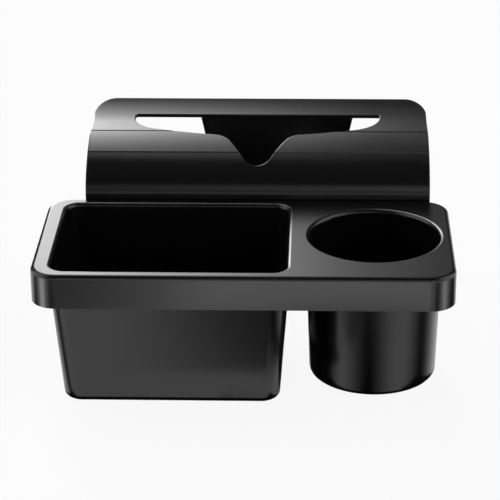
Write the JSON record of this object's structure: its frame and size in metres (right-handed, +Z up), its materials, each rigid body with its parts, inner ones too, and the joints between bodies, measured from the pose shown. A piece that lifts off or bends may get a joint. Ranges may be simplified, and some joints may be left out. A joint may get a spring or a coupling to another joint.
{
  "type": "car window cup holder",
  "caption": "Black moulded tray with a storage bin and a round cup well, carried by a curved hook panel with a tissue slot and a tongue that drops beside a car door's window glass.",
  "frame": {"origin": "under the middle of the holder's bounding box, on the level of the wells' undersides", "axes": "+X to the user's right, +Y towards the window glass, +Z up"},
  "size_m": [0.24, 0.1982, 0.1215],
  "materials": {
    "tray_plastic": "satin",
    "panel_plastic": "satin",
    "screw_steel": "zinc plated",
    "foam": "closed-cell foam"
  },
  "bodies": {
    "root": {"tray_body": "tray_plastic", "hook_panel": "panel_plastic", "panel_screws": "screw_steel", "tongue_pad": "foam", "door_pad_left": "foam", "door_pad_right": "foam"}
  },
  "joints": []
}
